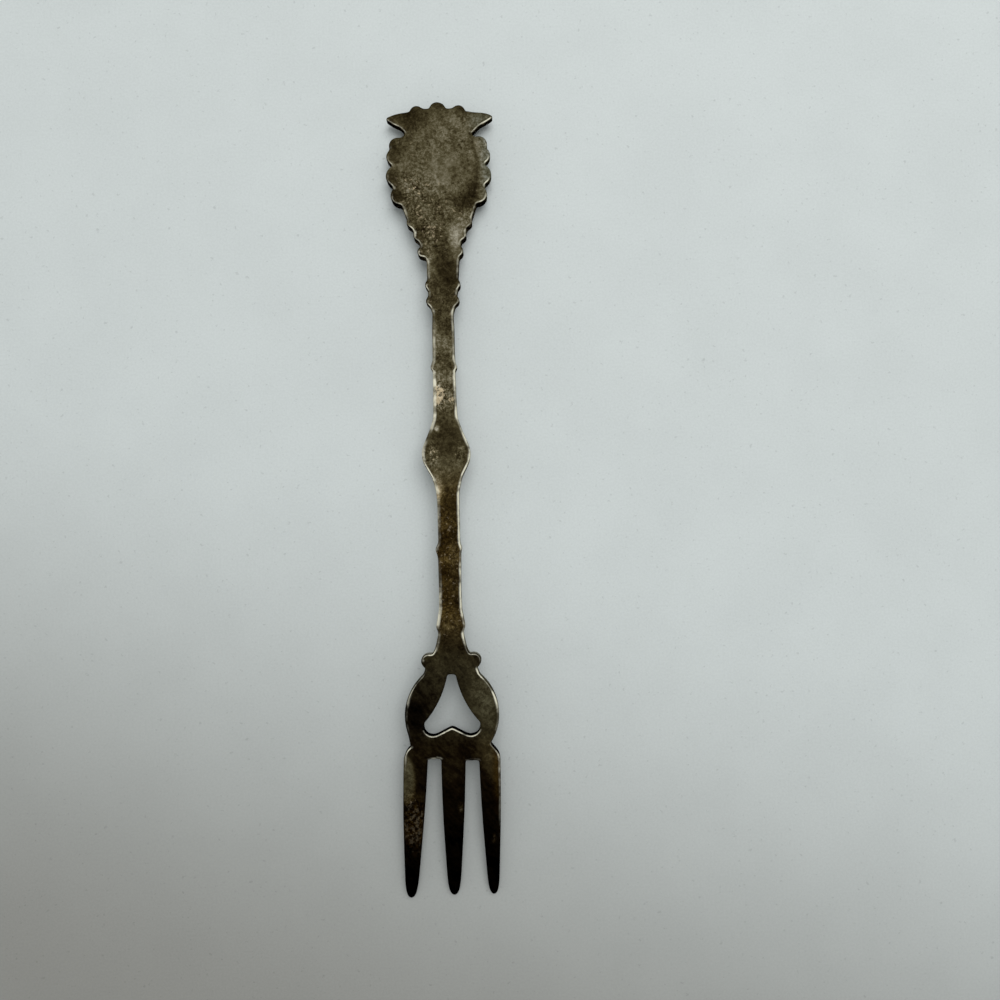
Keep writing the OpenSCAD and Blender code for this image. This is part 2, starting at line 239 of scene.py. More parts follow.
loops = [bowed(soften(even_steps(loop, STEP), ROUNDS)) for loop in raw_loops]
rim_a = np.vstack(loops)
rim_b = np.vstack([np.roll(loop, -1, 0) for loop in loops])
rim_out = (rim_b - rim_a)[:, ::-1] * (1, -1)
rim_out /= np.linalg.norm(rim_out, axis=1)[:, None]
print("softened edge:", len(rim_a), "points")

# %% Distance and direction of the edge
REACH = 4
AT_ONCE = 400


def to_rim(points):
    """Distance from each point to the edge, and where the edge there faces."""
    low, high = points[:, 1].min() - REACH, points[:, 1].max() + REACH
    near = (rim_a[:, 1] > low) & (rim_a[:, 1] < high)
    a, b, out = rim_a[near], rim_b[near], rim_out[near]
    step = b - a
    size = (step ** 2).sum(1)
    distance = np.empty(len(points))
    facing = np.empty((len(points), 2))
    for first in range(0, len(points), AT_ONCE):
        part = points[first:first + AT_ONCE, None, :]
        share = np.clip(((part - a) * step).sum(2) / size, 0, 1)
        gap = np.linalg.norm(part - a - share[:, :, None] * step, axis=2)
        best = gap.argmin(1)
        distance[first:first + AT_ONCE] = gap[np.arange(len(best)), best]
        facing[first:first + AT_ONCE] = out[best]
    return distance, facing


def inward_of(loop):
    """Direction of length 1 into the metal at each point of an outline."""
    ahead = np.roll(loop, -1, 0) - np.roll(loop, 1, 0)
    inward = ahead[:, ::-1] * (-1, 1)
    return inward / np.linalg.norm(inward, axis=1)[:, None]


print("half width at the origin:", to_rim(np.zeros((1, 2)))[0].round(2), "mm")

# %% [markdown]
# ## Dividing the blank into its members
# The library keeps the fork as named members that meet face to face. Boolean cuts could part them, but
# here the softened edge is cut where each dividing line crosses it, and the cut ends are joined along
# that line. Both neighbours use the very same points there, so no gap or step shows. Two lines sit
# slightly below the CAD ones, because a real edge (the heart's flat point, the tops of the slots
# between the tines) lies on them.

# %% Cut the edge at the dividing lines
HEART_LINE, SLOT_LINE = 5, 7
HEART_CLEARANCE = 0.25
SLOT_CLEARANCE = 0.35

lines = list(divides)
lines[HEART_LINE] -= HEART_CLEARANCE
lines[SLOT_LINE] -= SLOT_CLEARANCE


def with_crossings(loop):
    """The loop's points, with one more wherever it crosses a dividing line."""
    made = []
    for a, b in zip(loop, np.roll(loop, -1, 0)):
        made.append((tuple(a), None))
        hit = [k for k, y in enumerate(lines) if min(a[1], b[1]) < y < max(a[1], b[1])]
        for k in sorted(hit, key=lambda k: abs(lines[k] - a[1])):
            share = (lines[k] - a[1]) / (b[1] - a[1])
            made.append(((float(a[0] + share * (b[0] - a[0])), lines[k]), k))
    return made


def band_of(y):
    """Number of the band of members at a place along the fork."""
    return sum(1 for line in lines if y < line)


stretches = [[] for _ in BANDS]
crossings = [[] for _ in lines]
for loop in loops:
    points = with_crossings(loop)
    first = next(i for i, (point, line) in enumerate(points) if line is not None)
    points = points[first:] + points[:first + 1]
    stretch = [points[0][0]]
    for point, line in points[1:]:
        stretch.append(point)
        if line is not None:
            stretches[band_of(sum(p[1] for p in stretch[:2]) / 2)].append(stretch)
            crossings[line].append(point)
            stretch = [point]
partner = {}
for points in crossings:
    points.sort()
    for left, right in zip(points[::2], points[1::2]):
        partner[left] = right
        partner[right] = left
print(sum(map(len, stretches)), "stretches of edge")

# %% Join the cut ends
ROUNDING = 0.46
RINGS = [0.05, 0.11, 0.18, 0.27, 0.36, ROUNDING, 0.72]
GRID = 0.36
END_CLEARANCE = 0.08


def across(left, right):
    """Points along a dividing line, closer together near the two edges."""
    width = right[0] - left[0]
    ends = [d for d in RINGS if d < width / 2 - END_CLEARANCE]
    middle = width - 2 * ends[-1]
    count = max(1, round(middle / GRID))
    xs = [left[0] + d for d in ends[:-1]]
    xs += [left[0] + ends[-1] + middle * k / count for k in range(count + 1)]
    xs += [right[0] - d for d in reversed(ends[:-1])]
    return [(x, left[1]) for x in xs]


members = {}
for band, waiting in zip(BANDS, stretches):
    found = []
    while waiting:
        stretch = waiting.pop(0)
        start = stretch[0]
        outline, on_line = [], []
        while True:
            outline += stretch[:-1]
            on_line += [False] * (len(stretch) - 1)
            end = stretch[-1]
            other = partner[end]
            left, right = sorted((end, other))
            joint = across(left, right)
            if end == right:
                joint.reverse()
            outline += [end] + joint
            on_line += [True] * (len(joint) + 1)
            if other == start:
                break
            stretch = next(s for s in waiting if s[0] == other)
            waiting.remove(stretch)
        found.append((np.array(outline), on_line))
    found.sort(key=lambda made: made[0][:, 0].mean())
    for node, made in zip(band, found):
        members[node] = made
print({node: len(made[0]) for node, made in members.items()})

# %% [markdown]
# ## The bend of the fork
# Seen from the side the fork is taken to be one long low arch, highest just above the heart. The back
# is bent in one direction only, so a height for each place along the length is enough. The front is
# rounded off from the same thickness: its edges are thinner than its middle, as on many forged stems.
# A subdivision surface would give soft edges too, but its shape would be hard to measure.

# %% Heights of the back and of the front
crest_y = span("shoulder_yoke", 1)[1]
crest_z = cad_high.z / MM
waist_z = span("terminal", 2)[1]
tip_y = cad_low.y / MM
PLATE = 2.2
TIP_PLATE = 1.1
HANDLE_FALL = crest_z - waist_z
HANDLE_RUN = waist_y - crest_y
HEAD_RUN = crest_y - tip_y
SLOPE = 2 * HANDLE_FALL / HANDLE_RUN
DENT = 0.04
DENT_SIZE = 7
DENT_LAYER = 0.5
knop_low, knop_high = span("oval_knop", 1)
knop_y = (knop_low + knop_high) / 2
KNOP_HALF = (span("oval_knop", 0)[1], (knop_high - knop_low) / 2)
KNOP_SWELL = 0.8
# Thickness left at the edge, as a share of the plate.
EDGE_ALONG = [
    (0, 0.56), (6, 0.58), (12, 0.75), (17, 0.92), (32, 0.95), (36, 0.8), (88, 0.72), (96, 0.62),
    (112, 0.62), (140, 0.75),
]
EDGE_DROP = 0.15
STEM_CROWN = 1.7
# A crease just inside the lobes on one side: distance from the leaf's top, and place across.
CREASE = [(4, 12), (6, 5.2), (10.7, 6.3), (12.9, 6.5), (15.2, 6.1), (17.5, 5.6), (19, 12)]
CREASE_WIDTH = 0.5
LOBE_BEND = 0.12


def back_height(y):
    """Height of the plain back along the arch."""
    head = crest_z - (crest_z - TIP_PLATE) * ((crest_y - y) / HEAD_RUN) ** 2
    handle = crest_z - HANDLE_FALL * ((y - crest_y) / HANDLE_RUN) ** 2
    leaf = waist_z - SLOPE * (y - waist_y)
    return np.where(y < crest_y, head, np.where(y < waist_y, handle, leaf))


def plate(y):
    """Thickness of the metal, thinner towards the tips of the tines."""
    taper = np.clip((crest_y - y) / HEAD_RUN, 0, 1) ** 2
    return PLATE - (PLATE - TIP_PLATE) * taper


def dents(points):
    """Shallow unevenness of a hand-finished surface."""
    values = [noise.noise((x / DENT_SIZE, y / DENT_SIZE, DENT_LAYER)) for x, y in points]
    return DENT * (0.5 + 0.5 * np.clip(values, -1, 1))


def edge_drop(y, distance):
    """How far the worn edge has dropped: steep outside, flat inside."""
    inward = 1 - np.clip(distance / ROUNDING, 0, 1)
    return EDGE_DROP * plate(y) * (1 - np.sqrt(1 - inward ** 2))


def bent_lobes(points):
    """How far the lobes on one side are bent down, outside a faint crease."""
    crease = along(points[:, 1], CREASE)
    return LOBE_BEND * np.clip((points[:, 0] - crease) / CREASE_WIDTH, 0, 1)


def back_z(points, distance):
    """Height of the finished back."""
    y = points[:, 1]
    return back_height(y) - dents(points) - edge_drop(y, distance) - bent_lobes(points)


print("arch: crest", round(crest_z, 2), "waist", round(waist_z, 2), "tips", TIP_PLATE)

# %% Relief of the front
BELOW = -5
leaf_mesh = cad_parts["terminal"].data
leaf_tree = BVHTree.FromPolygons(
    [v.co / MM for v in leaf_mesh.vertices], [f.vertices[:] for f in leaf_mesh.polygons]
)


def leaf_relief(points):
    """How far the blossom and the beads stand out from the front."""
    made = np.zeros(len(points))
    for i, (x, y) in enumerate(points):
        hit = leaf_tree.ray_cast(Vector((x, y, BELOW)), Vector((0, 0, 1)))[0]
        if hit is not None:
            flat = float(back_height(y)) - PLATE
            made[i] = max(0, flat - hit.z)
    return made


def front_z(points, distance):
    """Height of the front, thicker towards the middle and under the knop."""
    y = points[:, 1]
    edge = along(y, EDGE_ALONG)
    crown = 1 - (1 - np.clip(distance / STEM_CROWN, 0, 1)) ** 2
    oval = (points[:, 0] / KNOP_HALF[0]) ** 2 + ((y - knop_y) / KNOP_HALF[1]) ** 2
    depth = plate(y) * (edge + (1 - edge) * crown) + KNOP_SWELL * np.sqrt(np.clip(1 - oval, 0, 1))
    return back_height(y) - depth


print(len(leaf_mesh.polygons), "CAD faces in the leaf-shaped end")

# %% [markdown]
# ## Where the tarnish and the painted light are
# Old silver darkens unevenly. It stays bright where fingers and cloths rub, and turns nearly black
# where they don't reach, as between the tines. A painted picture could hold this, but it would be
# tied to one size and one view. Here each point of the skin carries a few numbers: how light, how warm
# and how speckled the tarnish is, how much an edge is rubbed and carries a painted highlight, and how
# much painted shade it gets on a side wall or the slope above one. The lightness follows the length of
# the fork, with patches, all set by comparing renders with a photo. Part of it is a painted reflection:
# lighter on the leaf-shaped end and darker towards the tines.

# %% Lightness, warmth and specks along the fork
# Lightness is on the scale of a picture, from 0 to 1. It is partly tarnish and partly a painted
# reflection, lighter on the leaf-shaped end and darker down towards the tines.
TONE_ALONG = [
    (0, 0.27), (3, 0.31), (8, 0.34), (12, 0.35), (16, 0.35), (19, 0.31), (23, 0.29), (26, 0.25),
    (29, 0.2), (32, 0.21), (35, 0.26), (40, 0.28), (43, 0.37), (46, 0.29), (50, 0.32), (52, 0.34),
    (54, 0.33), (58, 0.25), (60, 0.225), (62, 0.22), (65, 0.32), (68, 0.23), (71, 0.18), (73, 0.26),
    (76, 0.155), (78, 0.2), (80, 0.25), (82.5, 0.14), (85, 0.19), (89.5, 0.23), (92, 0.17),
    (95, 0.14), (99, 0.15), (104, 0.14), (108, 0.145), (109.5, 0.13), (111.5, 0.08), (117, 0.08),
    (122, 0.04), (131, 0.01), (140, 0),
]
WARM_ALONG = [
    (0, 0), (64, 0), (69, 0.6), (74, 0.85), (89, 0.85), (93, 0.3), (96, -0.2), (99, -0.4),
    (109, -0.4), (112, 0.1), (140, 0.1),
]
FLECK_ALONG = [
    (0, 0.1), (8, 0.2), (12, 0.1), (16, 0.15), (20, 0.3), (26, 0.3), (29, 0.1), (36, 0.2),
    (46, 0.2), (49, 0.25), (51, 0.4), (53, 0.4), (55, 0.1), (64, 0.1), (70, 0.2), (76, 0.3),
    (90, 0.3), (95, 0.1), (112, 0.05), (140, 0),
]
print(len(TONE_ALONG), "places with a lightness")

# %% Patches of tarnish
# Each patch: distance from the leaf's top, place across, half length, half width, crispness, change.
TONE_PATCHES = [
    (0.5, 0.3, 1.1, 1.3, 1.5, -0.06), (2, 3.9, 1, 1.2, 1.5, -0.07), (4.4, 1.8, 1.6, 2.2, 1.5, 0.04),
    (3.3, 5.2, 1.5, 2, 1.5, 0.04), (1.5, -4, 3, 3, 1.5, -0.07), (3.5, -6, 2.2, 2.2, 1.5, -0.08),
    (8.9, -8.1, 2.2, 1.4, 1.5, -0.14), (13.6, -8.5, 1.6, 1.3, 1.5, -0.15),
    (17, -7.9, 1.5, 1.5, 1.5, -0.17), (12, 8.2, 6, 1.2, 1.5, 0.03),
    (14.5, 5.7, 2.2, 0.9, 1.5, -0.07), (17.6, 4.6, 1.9, 1.9, 1.5, -0.13),
    (9.5, -5, 4, 2.5, 1.5, -0.04), (15.3, 0.5, 2, 3, 1.5, 0.05), (18.6, 3.6, 1.6, 1.6, 1.5, -0.05),
    (23.4, -2.6, 1.6, 1.4, 1.5, -0.1), (20.3, 4.5, 1.6, 0.7, 1.5, 0.08),
    (22.2, 3.3, 1.9, 1.2, 2, 0.13), (24.4, 2.4, 2, 1.3, 2, 0.14), (23.9, 2, 1.5, 1.1, 2, 0.11),
    (25.3, 1.9, 1.2, 1, 2, 0.09), (25.2, -2.7, 1.2, 1, 1.5, -0.06),
    (27.6, 1.5, 1.4, 0.9, 1.5, 0.045), (19.8, 3.8, 1.2, 1.2, 1.5, -0.03),
    (27, 2.5, 2, 0.8, 2, 0.14), (29.7, -1.6, 2.6, 0.8, 2, 0.05), (27.2, -2.3, 4.6, 1.1, 1.5, 0.16),
    (31.2, 1, 3.2, 1.4, 2, -0.05), (37.4, 0.6, 1.6, 1.4, 1.5, 0.035),
    (40, -1.3, 2.5, 0.7, 1.5, 0.05), (40.4, 0.9, 1.6, 1.3, 1.5, -0.09),
    (45.8, 1.2, 1, 0.8, 1.5, 0.04), (48.8, 1.4, 1.2, 0.7, 1.5, 0.08),
    (48.6, 0, 0.8, 0.6, 1.5, -0.03), (46, 0, 1.2, 0.8, 1.5, -0.05), (50.6, -0.8, 2.7, 0.9, 2, 0.06),
    (57.6, -1.4, 0.5, 0.42, 2, 0.5), (58.8, 0.4, 2.2, 2, 1.5, -0.03),
    (62.2, -2.4, 1.8, 1.1, 1.5, 0.1), (61.6, 2.5, 1.5, 0.9, 1.5, 0.08),
    (62.4, 2.1, 0.35, 0.35, 2, -0.15), (65, 0.1, 1.2, 0.8, 1.5, 0.03),
    (67.8, -1.4, 3, 0.8, 1.5, 0.19), (68.9, -1.5, 1.4, 0.7, 2.5, 0.15),
    (77.7, 0.4, 0.25, 0.25, 2, 0.2), (79.4, 0.9, 1.6, 0.9, 1.5, 0.04),
    (77.4, -1, 1, 0.7, 1.5, -0.04), (82.4, -1.1, 1, 0.6, 1.5, -0.03),
    (82.6, 0.8, 1, 0.9, 1.5, 0.03), (83.4, 0.5, 0.22, 0.22, 2, 0.2),
    (87.2, 1.4, 2.2, 0.6, 1.5, -0.09), (91.4, 0.1, 0.5, 0.8, 2, 0.14),
    (95, -2.4, 2.5, 1.8, 1.5, 0.05), (104, -5.6, 5, 2.4, 1.5, -0.07),
    (107.2, -6.4, 3, 2.2, 2, -0.06), (104.5, 6, 5.5, 2.8, 1, 0.1), (112.5, 6.2, 2.6, 2, 2, 0.08),
    (117.8, -7.9, 4.5, 1.45, 8, 0.16), (121.4, -8.2, 2.2, 1.4, 2, -0.04),
    (115, 6.9, 3.5, 1.7, 2, 0.06), (119, 7.8, 4.5, 0.8, 2, 0.06), (126, -7, 6, 2.6, 2, 0.05),
    (123, 1.2, 1.1, 0.5, 2, 0.05), (128.6, 6.8, 0.9, 0.4, 2, 0.05),
]
WARM_PATCHES = [
    (12, 8.4, 7, 1.4, 1.5, -0.5), (3.5, 7.5, 3, 2.5, 1.5, -0.4), (117.5, -8, 6, 1.3, 3, -0.4),
    (126, -7, 5.6, 2.6, 2, 0.9), (118, 7.8, 7, 1, 2, 0.8), (82, 1.2, 8, 0.9, 2, -0.25),
]
FLECK_PATCHES = [
    (15.5, -4.5, 3.5, 3, 1.5, 0.25), (12, 1, 3.6, 2.6, 2, -0.1), (22.7, -2, 2.2, 1.3, 2, 0.25),
    (24.5, 2.7, 4, 1.8, 2, -0.24), (51.9, -1.1, 2.4, 1, 2, 0.6), (62, -2.2, 2.2, 1.3, 2, 0.3),
    (62, 2.4, 1.8, 1, 2, 0.25), (126, -7, 5.6, 2.6, 2, 0.75), (123, 1.2, 1.1, 0.5, 2, 0.7),
    (128.6, 6.8, 0.9, 0.4, 2, 0.6),
]
# The crease beside the lobes: the painted shade along its line, its half width, and the painted light
# on the bent lobes outside it.
CREASE_SHADE = -0.09
CREASE_LINE = 0.35
LOBE_LIGHT = 0.03


def patched(points, table, patches):
    """A value that follows the fork's length, changed in oval patches."""
    made = along(points[:, 1], table)
    for place, x, half_l, half_w, crisp, change in patches:
        down = (leaf_top_y - points[:, 1] - place) / half_l
        off = down ** 2 + ((points[:, 0] - x) / half_w) ** 2
        made = made + change * np.exp(-off ** crisp)
    return made


def tarnish_and_reflection(points):
    """Lightness with its painted reflection, warmth and specks at each point."""
    light = patched(points, TONE_ALONG, TONE_PATCHES)
    warm = patched(points, WARM_ALONG, WARM_PATCHES)
    return light, warm, patched(points, FLECK_ALONG, FLECK_PATCHES)


def crease_shade_and_light(points):
    """Painted shade along the crease, and painted light on the bent lobes outside it."""
    past = points[:, 0] - along(points[:, 1], CREASE)
    paler = LOBE_LIGHT * np.clip(past / CREASE_WIDTH, 0, 1)
    return CREASE_SHADE * np.exp(-(past / CREASE_LINE) ** 2) + paler


print(len(TONE_PATCHES), "patches of lightness")

# %% Tables for rubbed edges and dark walls
# How bright a rubbed edge is by the distance in from the rim, where it faces right, left, and the
# middle of the fork's length. The bright line is partly wear and partly a painted highlight.
RIGHT_BAND = [(0, 0.8), (0.1, 1), (0.25, 1), (0.37, 0.6), (0.51, 0.15), (0.63, 0)]
LEFT_BAND = [
    (0, 0.5), (0.12, 0.5), (0.22, 0.85), (0.35, 1), (0.5, 0.8), (0.62, 0.25), (0.72, 0),
]
INNER_BAND = [(0, 0), (0.05, 0), (0.12, 0.5), (0.19, 1), (0.27, 0.7), (0.35, 0.1), (0.42, 0)]
# How far in the slope of an edge gets the same painted shade as its wall.
SLOPE_BAND = [(0, 1), (0.06, 0.85), (0.12, 0.35), (0.18, 0)]
# On the stem a painted highlight makes the edge bright right out to the rim and down the wall.
OUTER_BAND = [(0, 1), (0.15, 1), (0.26, 0)]
OUTER_ALONG = [
    (0, 0), (42, 0), (46, 0.5), (66, 0.7), (90, 0.7), (94, 0.3), (97, 0), (140, 0),
]
# How much a sideways edge is rubbed and carries a painted highlight, on the right and on the left.
RIGHT_ALONG = [
    (0, 0.2), (16, 0.25), (20, 0.28), (26, 0.36), (28.5, 0.27), (32, 0.28), (36, 0.36), (44, 0.36),
    (48, 0.5), (64, 0.56), (68, 0.4), (90, 0.36), (95, 0.4), (100, 0.5), (103, 0.5), (107, 0.34),
    (110, 0.34), (116, 0.3), (126, 0.15), (134, 0), (140, 0),
]
LEFT_ALONG = [
    (0, 0.15), (20, 0.28), (25, 0.5), (27, 0.45), (29, 0.25), (33, 0.27), (36, 0.34), (44, 0.38),
    (50, 0.7), (54, 0.55), (64, 0.52), (69, 0.38), (75, 0.34), (90, 0.34), (95, 0.3), (100, 0.22),
    (112, 0.25), (116, 0.14), (126, 0.05), (134, 0), (140, 0),
]
# How much painted shade the upright walls get. Below zero they face the light and get painted light,
# paler than the back.
WALL_ALONG = [
    (0, 1), (24, 1), (30, 0.6), (88, 0.6), (91, -2), (97, -2), (101, -0.8), (105, 0.6), (107, 0.8),
    (113, 0.8), (116, 1), (140, 1),
]
print(len(RIGHT_ALONG), "and", len(LEFT_ALONG), "places with a rubbed edge")

# %% Rubbed edges and dark walls
# Walls and slopes that don't face the middle keep these shares of that painted shade.
SIDE_WALL = 0.45
SIDE_SLOPE = 0.1
# Where an edge starts to count as facing the middle, and over how much it comes to count fully.
MIDDLE_FROM, MIDDLE_OVER = 0.15, 0.4
# Edges that face the fork's ends get less of the rubbed line and its painted highlight. Those in the
# slots and the heart keep only a share, except where the heart's edge faces the middle.
AWAY_LESS = 0.5
SHELTERED = 0.15
HEART_AWAY = -0.3
# Where the slots begin along the fork, and the places across between which the middle tine lies.
ROOT_Y = divides[SLOT_LINE]
SLOT_LEFT, SLOT_RIGHT = -3, 3.5
# A pale line on the tops of the slots, part wear and part painted highlight: how near their roots,
# how squarely facing the tips, how rubbed and lit.
SLOT_NEAR = 1.2
SLOT_FACING = -0.6
SLOT_TOP = 0.3


def toward_middle(points, facing):
    """From 0 to 1, the more an edge faces the middle of the fork's length."""
    turned = -facing[:, 1] * np.sign(points[:, 1])
    return np.clip((turned - MIDDLE_FROM) / MIDDLE_OVER, 0, 1)


def sheltered(points, facing, away):
    """True on edges inside the slots and on the sides of the heart."""
    x, y = points[:, 0], points[:, 1]
    left = (x < SLOT_LEFT) & (facing[:, 0] > 0)
    right = (x > SLOT_RIGHT) & (facing[:, 0] < 0)
    slot = (y < ROOT_Y) & (left | right | ((x > SLOT_LEFT) & (x < SLOT_RIGHT)))
    heart = (y < divides[HEART_LINE]) & (y > ROOT_Y) & (x * facing[:, 0] < 0)
    return slot | heart & (away > HEART_AWAY)


def rubbed_and_highlight(points, distance, facing):
    """How bright each point's worn edge line and its painted highlight are."""
    y = points[:, 1]
    right = facing[:, 0] > 0
    side = np.where(right, lookup(distance, RIGHT_BAND), lookup(distance, LEFT_BAND))
    middle = toward_middle(points, facing)
    band = side + (lookup(distance, INNER_BAND) - side) * middle
    band = band + along(y, OUTER_ALONG) * lookup(distance, OUTER_BAND) * (1 - middle)
    away = facing[:, 1] * np.sign(y)
    share = np.where(right, along(y, RIGHT_ALONG), along(y, LEFT_ALONG))
    share = np.clip(share - AWAY_LESS * away, 0, 1)
    made = band * share * np.where(sheltered(points, facing, away), SHELTERED, 1)
    top = (np.abs(y - ROOT_Y) < SLOT_NEAR) & (facing[:, 1] < SLOT_FACING)
    return np.where(top, SLOT_TOP * side, made)


def painted_slope_shade(points, distance, facing):
    """How much of the wall's painted shade an edge's slope gets."""
    dark = np.clip(along(points[:, 1], WALL_ALONG), 0, 1)
    turned = np.maximum(toward_middle(points, facing), SIDE_SLOPE)
    return dark * lookup(distance, SLOPE_BAND) * turned


print("slots begin at", round(ROOT_Y, 2), "mm")

# %% [markdown]
# ## Tarnished silver
# Tarnish is a thin dark layer on bright metal: brown-black where thick, olive and grey where thin,
# with fine pale specks where it is broken. An image texture would blur from close by, so noise makes
# it. Two effects are kept as node groups, so the back and the front can share them: the mottled
# tarnish, which also lays painted shade on walls and slopes, and the bright line along rubbed edges,
# which is partly wear and partly a painted highlight. They read Object coordinates, so the pattern
# stays fixed to the metal and keeps its true size.

# %% Helpers for building node trees


def add(tree, kind, inputs=None, **settings):
    """Adds one node, sets its options, and links or sets its inputs."""
    made = tree.nodes.new(kind)
    for key, value in settings.items():
        setattr(made, key, value)
    for key, value in (inputs or {}).items():
        socket = made.inputs[key]
        if isinstance(value, bpy.types.NodeSocket):
            tree.links.new(value, socket)
        else:
            socket.default_value = value
    return made


def sums(tree, operation, a, b=0.0, clamp=False):
    """One Math node; gives its output socket."""
    return add(tree, "ShaderNodeMath", {0: a, 1: b}, operation=operation, use_clamp=clamp).outputs[0]


def vectors(tree, operation, inputs):
    """One Vector Math node; gives its output socket."""
    return add(tree, "ShaderNodeVectorMath", inputs, operation=operation).outputs[0]


def scaled(tree, value, gain, start):
    """A value times a gain, counted from a start."""
    return sums(tree, "ADD", sums(tree, "MULTIPLY", value, gain), start)


def grain(tree, place, pattern):
    """One noise pattern, around a half."""
    keys = ("Scale", "Detail", "Roughness", "Distortion")
    inputs = {"Vector": place, **dict(zip(keys, pattern))}
    return add(tree, "ShaderNodeTexNoise", inputs).outputs[0]


def between(tree, value, low, high, to_low=0.0, to_high=1.0):
    """Smoothly maps a range of values to another range."""
    inputs = {"Value": value, "From Min": low, "From Max": high, "To Min": to_low, "To Max": to_high}
    return add(tree, "ShaderNodeMapRange", inputs, interpolation_type="SMOOTHSTEP").outputs[0]


def shaded(tree, place, pattern, change):
    """One noise pattern, mapped to a change of lightness."""
    return between(tree, grain(tree, place, pattern), *change)


def blend(tree, share, a, b):
    """Mixes two colours, which a Mix node has at its inputs 6 and 7 and its output 2."""
    return add(tree, "ShaderNodeMix", {0: share, 6: a, 7: b}, data_type="RGBA").outputs[2]


def new_group(name, inputs, outputs, kind="ShaderNodeTree"):
    """An empty node group with named sockets; gives its tree and its two ends."""
    tree = bpy.data.node_groups.new(name, kind)
    for way, sockets in (("INPUT", inputs), ("OUTPUT", outputs)):
        for label, carries in sockets:
            tree.interface.new_socket(label, in_out=way, socket_type=carries)
    return tree, add(tree, "NodeGroupInput"), add(tree, "NodeGroupOutput")


print("node helpers are ready")

# %% Colours and patterns of the tarnish
# Each stop: lightness, then the shares of green and of blue against red.
TARNISH = [
    (0, 0.58, 0.23), (0.08, 0.62, 0.27), (0.19, 0.74, 0.31), (0.26, 0.79, 0.37), (0.33, 0.83, 0.42),
    (0.42, 0.86, 0.53), (0.6, 0.9, 0.68), (0.85, 0.95, 0.8), (1, 0.97, 0.88),
]
# Change of red, green and blue where the tarnish is warmest.
WARMER = (0, -0.24, -0.62)
FLECK_COLOUR = (0.72, 0.58, 0.38, 1)
# Brush marks run at a slant and are several times longer than wide.
BRUSH_TURN = (0, 0, 0.7)
BRUSH_STRETCH = (1, 5, 1)
# Each noise: scale, detail, roughness and distortion, then its low and high value and the change of
# lightness at either.
CLOUDS = (170, 3, 0.55, 0), (0.35, 0.65, -0.035, 0.035)
BLOTS = (620, 4, 0.65, 0.5), (0.38, 0.62, -0.045, 0.045)
SPOTS = (1900, 2, 0.6, 0.3), (0.3, 0.7, -0.09, 0.09)
DUST = (4200, 2, 0.6, 0), (0.3, 0.7, -0.07, 0.07)
STROKES = (1500, 3, 0.6, 0), (0.35, 0.65, -0.055, 0.055)
# Brush marks fade on pale metal: lightness at either end, and their share there.
STROKE_SHARE = (0.1, 0.26, 1, 0.15)
# Gain and start of fine grain by specks, and of all grain by lightness.
GRAIN_BY_FLECK = (2.2, 0.4)
GRAIN_BY_TONE = (2.4, 0.15)
# How much the wall number darkens the tarnish: painted shade on walls and the slopes above them.
WALL_DARKER = 0.26
# Bare specks: their noise, how specks widen them, where they begin and are full, and how they fade.
BROKEN = (1700, 3, 0.6, 0.4)
BARE_WIDER = 0.24
BARE_FROM, BARE_TO = 0.66, 0.78
BARE_SHARE = 2.5
BARE_TONE, BARE_POWER = 2, 1.5
# Lightness at either end, and the roughness there.
DULL = (0.05, 0.5, 0.62, 0.5)
FLOAT, VECTOR, COLOUR = "NodeSocketFloat", "NodeSocketVector", "NodeSocketColor"


def light_of(lightness):
    """Amount of light for a lightness on the scale of a picture, by the sRGB curve."""
    return ((lightness + 0.055) / 1.055) ** 2.4 if lightness > 0.04 else lightness / 12.92


print(len(TARNISH), "stops from black to silver")

# %% The mottled tarnish
mottle_and_shade, start, end = new_group(
    "mottled_tarnish_and_shade",
    [("Place", VECTOR), ("Tone", FLOAT), ("Warm", FLOAT), ("Fleck", FLOAT), ("Wall", FLOAT)],
    [("Colour", COLOUR), ("Roughness", FLOAT), ("Height", FLOAT)],
)
place, level, fleck = (start.outputs[key] for key in ("Place", "Tone", "Fleck"))
spots = grain(mottle_and_shade, place, SPOTS[0])
dust = grain(mottle_and_shade, place, DUST[0])
fine = between(mottle_and_shade, spots, *SPOTS[1])
fine = sums(mottle_and_shade, "ADD", fine, between(mottle_and_shade, dust, *DUST[1]))
fine = sums(mottle_and_shade, "MULTIPLY", fine, scaled(mottle_and_shade, fleck, *GRAIN_BY_FLECK))
broad = sums(mottle_and_shade, "ADD", shaded(mottle_and_shade, place, *CLOUDS), shaded(mottle_and_shade, place, *BLOTS))
turned = add(mottle_and_shade, "ShaderNodeMapping", {
    "Vector": place,
    "Rotation": BRUSH_TURN,
    "Scale": BRUSH_STRETCH,
}, vector_type="TEXTURE")
brushed = shaded(mottle_and_shade, turned.outputs[0], *STROKES)
brushed = sums(mottle_and_shade, "MULTIPLY", brushed, between(mottle_and_shade, level, *STROKE_SHARE))
varied = sums(mottle_and_shade, "ADD", sums(mottle_and_shade, "ADD", fine, broad), brushed)
varied = sums(mottle_and_shade, "MULTIPLY", varied, scaled(mottle_and_shade, level, *GRAIN_BY_TONE))
value = sums(mottle_and_shade, "ADD", level, varied)
# Painted shade on walls and on the slopes above them, from the wall number.
on_wall = sums(mottle_and_shade, "MULTIPLY", start.outputs["Wall"], WALL_DARKER)
value = sums(mottle_and_shade, "SUBTRACT", value, on_wall)
print(mottle_and_shade.name, "with", len(mottle_and_shade.nodes), "nodes so far")

